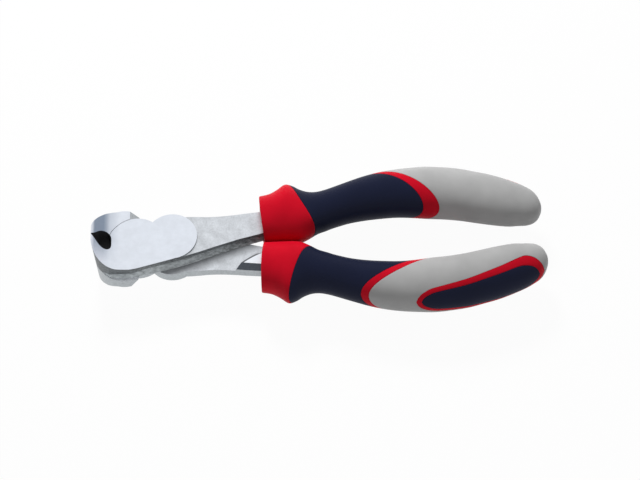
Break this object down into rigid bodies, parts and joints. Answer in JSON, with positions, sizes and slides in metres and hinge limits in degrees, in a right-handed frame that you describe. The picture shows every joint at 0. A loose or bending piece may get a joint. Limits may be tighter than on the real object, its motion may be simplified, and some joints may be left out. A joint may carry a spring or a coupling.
{
  "type": "end cutting nippers",
  "caption": "Hand tool with two crossed levers on a lap joint, wide end cutting edges across the front and moulded three-colour grips.",
  "frame": {"origin": "centre of the closed tool's outline, at the level of the lower corners of the cutting edges", "axes": "+X from the cutting edges to the grips, +Z along the rivet, +Y to the side of the grip on the lower jaw's lever"},
  "size_m": [0.16, 0.0578, 0.024],
  "materials": {
    "lever_steel": "ground bright on the joint faces and the jaws' slopes, satin forged on the sides and shanks",
    "rivet_steel": "ground flush with the joint faces",
    "grip_red": "smooth satin moulded plastic",
    "grip_navy": "fine matt soft-touch moulding",
    "grip_grey": "fine matt soft-touch moulding"
  },
  "bodies": {
    "lower_jaw_body": {"lower_jaw_lever": "lever_steel", "pivot_rivet": "rivet_steel", "upper_grip_core": "grip_red", "upper_grip_sleeve": "grip_navy", "upper_grip_tail": "grip_grey", "upper_grip_inlay": "grip_navy"},
    "upper_jaw_body": {"upper_jaw_lever": "lever_steel", "lower_grip_core": "grip_red", "lower_grip_sleeve": "grip_navy", "lower_grip_tail": "grip_grey", "lower_grip_inlay": "grip_navy"}
  },
  "joints": [
    {"name": "jaw_pivot", "type": "hinge", "parent": "lower_jaw_body", "child": "upper_jaw_body", "pos_m": [-0.0648, 0, 0.012], "axis": [0, 0, -1], "range_deg": [0, 30]}
  ]
}
